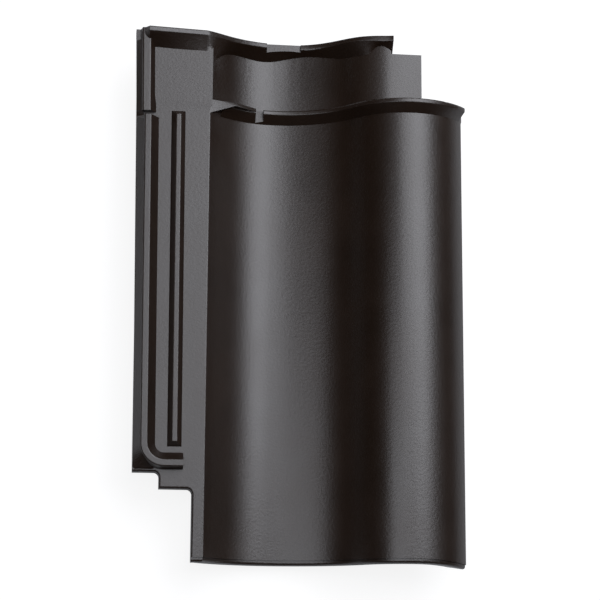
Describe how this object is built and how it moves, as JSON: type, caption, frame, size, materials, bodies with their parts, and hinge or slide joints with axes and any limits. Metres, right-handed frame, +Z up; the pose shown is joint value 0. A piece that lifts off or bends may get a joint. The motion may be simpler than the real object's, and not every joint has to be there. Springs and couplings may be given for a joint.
{
  "type": "clay roof tile",
  "caption": "Interlocking clay pantile with a broad valley, a raised roll, a ribbed side lock, a head rim and hanging nibs; sheds rain from a pitched roof.",
  "frame": {"origin": "centre of the tile's outline on the floor it lies on", "axes": "+X across the tile from the side lock to the roll, +Y along the tile from tail to head, +Z up out of the weather face"},
  "size_m": [0.2582, 0.4136, 0.0719],
  "materials": {
    "fired_clay": "satin dark brown-black engobe"
  },
  "bodies": {
    "root": {"roof_tile": "fired_clay"}
  },
  "joints": []
}
